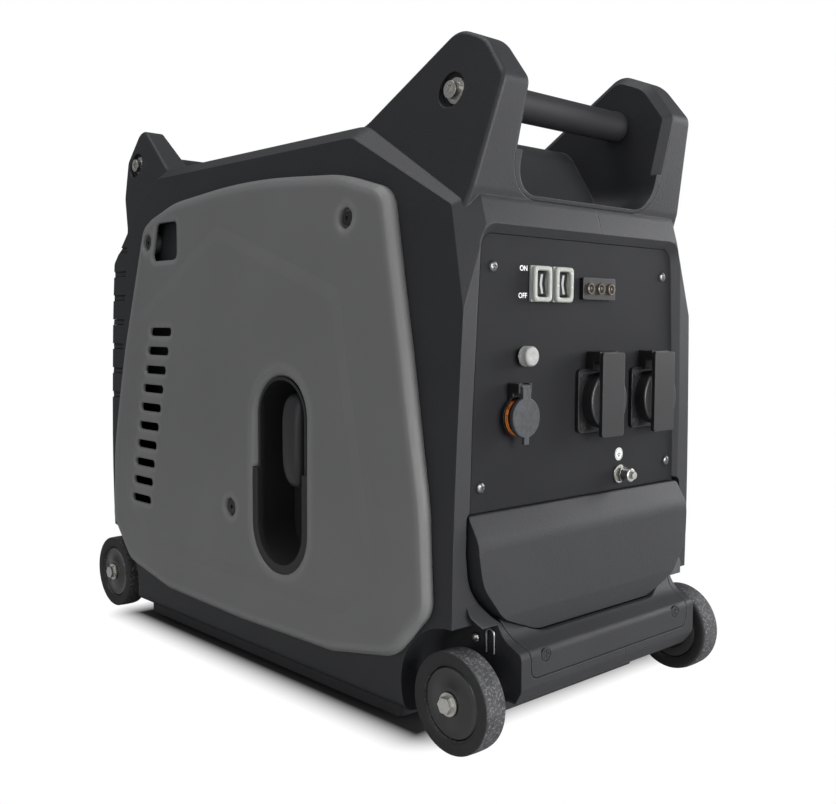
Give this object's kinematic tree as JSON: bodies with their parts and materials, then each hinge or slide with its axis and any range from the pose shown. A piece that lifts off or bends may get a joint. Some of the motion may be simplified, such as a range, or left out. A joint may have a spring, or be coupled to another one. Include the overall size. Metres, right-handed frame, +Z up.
{
  "type": "portable generator",
  "caption": "Closed-frame portable inverter generator on wheels, with two carrying bars, recoil starter, control panel with sockets, and louvred side covers.",
  "frame": {"origin": "on the floor, midway between the four wheels", "axes": "+X to the right as seen from the control panel, +Y from the control panel to the exhaust end, +Z up"},
  "size_m": [0.3088, 0.5928, 0.5151],
  "materials": {
    "base_plastic": "matte black plastic",
    "battery_case": "moulded",
    "body_plastic": "fine textured black plastic",
    "brass": "plated",
    "breaker_boot": "translucent",
    "cap_rubber": "smooth",
    "cast_aluminium": "as cast",
    "clear_cover": "clear soft plastic",
    "copper": "orange metal ring",
    "cover_plastic": "satin grey plastic",
    "foam_grip": "foam",
    "grip_plastic": "moulded black plastic",
    "hub_plastic": "satin",
    "lamp": "lamp with metal ring",
    "liner_plastic": "matte black plastic",
    "panel_sheet": "matte black powder coat",
    "rocker": "moulded",
    "rope": "braided cord",
    "rubber": "matte",
    "screw_black": "black oxide",
    "socket_plastic": "moulded",
    "steel_dark": "black painted steel",
    "steel_wire": "bright wire",
    "switch_frame": "moulded",
    "tank_plastic": "blow moulded",
    "tyre": "speckled rubber",
    "zinc": "zinc plated"
  },
  "bodies": {
    "frame": {"ac_contacts": "brass", "ac_sockets": "socket_plastic", "air_intake": "liner_plastic", "alternator_stator": "steel_dark", "base_tray": "base_plastic", "battery": "battery_case", "breaker_body": "zinc", "bumper_screws": "screw_black", "control_panel": "panel_sheet", "cover_screws": "screw_black", "crankcase": "cast_aluminium", "cylinder": "cast_aluminium", "dc_ring": "copper", "dc_socket": "socket_plastic", "earth_terminal": "zinc", "engine_mounts": "rubber", "exhaust_outlet": "steel_dark", "front_access_cover": "body_plastic", "front_bumper_plate": "body_plastic", "fuel_tank": "tank_plastic", "handle_bolts": "zinc", "handle_grips": "foam_grip", "handle_tubes": "steel_dark", "indicator_block": "socket_plastic", "indicator_lamps": "lamp", "inverter": "cast_aluminium", "left_shell": "body_plastic", "left_side_cover": "cover_plastic", "muffler": "steel_dark", "panel_screws": "zinc", "pocket_clip": "steel_wire", "rear_cover": "body_plastic", "recoil_housing": "steel_dark", "recoil_pocket": "liner_plastic", "right_shell": "body_plastic", "right_side_cover": "cover_plastic", "switch_bodies": "switch_frame", "switch_boots": "clear_cover", "top_cover": "body_plastic", "wheel_axles": "zinc"},
    "wheel_fl": {"tyre_fl": "tyre", "hub_fl": "hub_plastic"},
    "wheel_fr": {"tyre_fr": "tyre", "hub_fr": "hub_plastic"},
    "wheel_rl": {"tyre_rl": "tyre", "hub_rl": "hub_plastic"},
    "wheel_rr": {"tyre_rr": "tyre", "hub_rr": "hub_plastic"},
    "economy_rocker": {"rocker_left": "rocker"},
    "engine_rocker": {"rocker_right": "rocker"},
    "ac_lid_a": {"ac_lid_left": "socket_plastic"},
    "ac_lid_b": {"ac_lid_right": "socket_plastic"},
    "dc_cover": {"dc_cap": "cap_rubber"},
    "breaker_button": {"breaker_boot": "breaker_boot"},
    "filler_cap": {"fuel_cap": "liner_plastic"},
    "earth_nut": {"earth_knob": "zinc"},
    "pull_handle": {"recoil_grip": "grip_plastic", "starter_rope": "rope"},
    "reel": {"recoil_reel": "liner_plastic"},
    "rotor": {"flywheel": "steel_dark"}
  },
  "joints": [
    {"name": "wheel_fl_spin", "type": "hinge", "parent": "frame", "child": "wheel_fl", "pos_m": [-0.136, -0.2594, 0.037], "axis": [1, 0, 0], "continuous": true},
    {"name": "wheel_fr_spin", "type": "hinge", "parent": "frame", "child": "wheel_fr", "pos_m": [0.136, -0.2594, 0.037], "axis": [1, 0, 0], "continuous": true},
    {"name": "wheel_rl_spin", "type": "hinge", "parent": "frame", "child": "wheel_rl", "pos_m": [-0.136, 0.2594, 0.037], "axis": [1, 0, 0], "continuous": true},
    {"name": "wheel_rr_spin", "type": "hinge", "parent": "frame", "child": "wheel_rr", "pos_m": [0.136, 0.2594, 0.037], "axis": [1, 0, 0], "continuous": true},
    {"name": "economy_switch", "type": "hinge", "parent": "frame", "child": "economy_rocker", "pos_m": [-0.0556, -0.2569, 0.3346], "axis": [1, 0, 0], "range_deg": [-8, 8]},
    {"name": "engine_switch", "type": "hinge", "parent": "frame", "child": "engine_rocker", "pos_m": [-0.0304, -0.2569, 0.3346], "axis": [1, 0, 0], "range_deg": [-8, 8]},
    {"name": "ac_lid_a_hinge", "type": "hinge", "parent": "frame", "child": "ac_lid_a", "pos_m": [0.0155, -0.27, 0.281], "axis": [-1, 0, 0], "range_deg": [0, 100], "stiffness_Nm_per_rad": 0.02, "springref_deg": -28.65},
    {"name": "ac_lid_b_hinge", "type": "hinge", "parent": "frame", "child": "ac_lid_b", "pos_m": [0.0855, -0.27, 0.281], "axis": [-1, 0, 0], "range_deg": [0, 100], "stiffness_Nm_per_rad": 0.02, "springref_deg": -28.65},
    {"name": "dc_cap_hinge", "type": "hinge", "parent": "frame", "child": "dc_cover", "pos_m": [-0.081, -0.268, 0.2585], "axis": [-1, 0, 0], "range_deg": [0, 100]},
    {"name": "breaker_push", "type": "slide", "parent": "frame", "child": "breaker_button", "axis": [0, 1, 0], "range_m": [0, 0.002], "stiffness_N_per_m": 400, "springref_m": -0.002},
    {"name": "fuel_cap_lift", "type": "slide", "parent": "frame", "child": "filler_cap", "axis": [0, 0, 1], "range_m": [0, 0.05]},
    {"name": "earth_knob_turn", "type": "hinge", "parent": "frame", "child": "earth_nut", "pos_m": [0.0485, -0.268, 0.182], "axis": [0, -1, 0], "range_deg": [0, 360]},
    {"name": "recoil_pull", "type": "slide", "parent": "frame", "child": "pull_handle", "axis": [-1, 0, 0], "range_m": [0, 0.6], "stiffness_N_per_m": 20, "springref_m": -0.3, "deforming": ["starter_rope"]},
    {"name": "reel_turn", "type": "hinge", "parent": "frame", "child": "reel", "pos_m": [0, -0.069, 0.165], "axis": [0, -1, 0], "range_deg": [0, 822]},
    {"name": "rotor_spin", "type": "hinge", "parent": "frame", "child": "rotor", "pos_m": [0, 0.03, 0.165], "axis": [0, 1, 0], "continuous": true}
  ],
  "couplings": [
    {"joint": "reel_turn", "follows": "recoil_pull", "rad_per_m": 23.81}
  ]
}
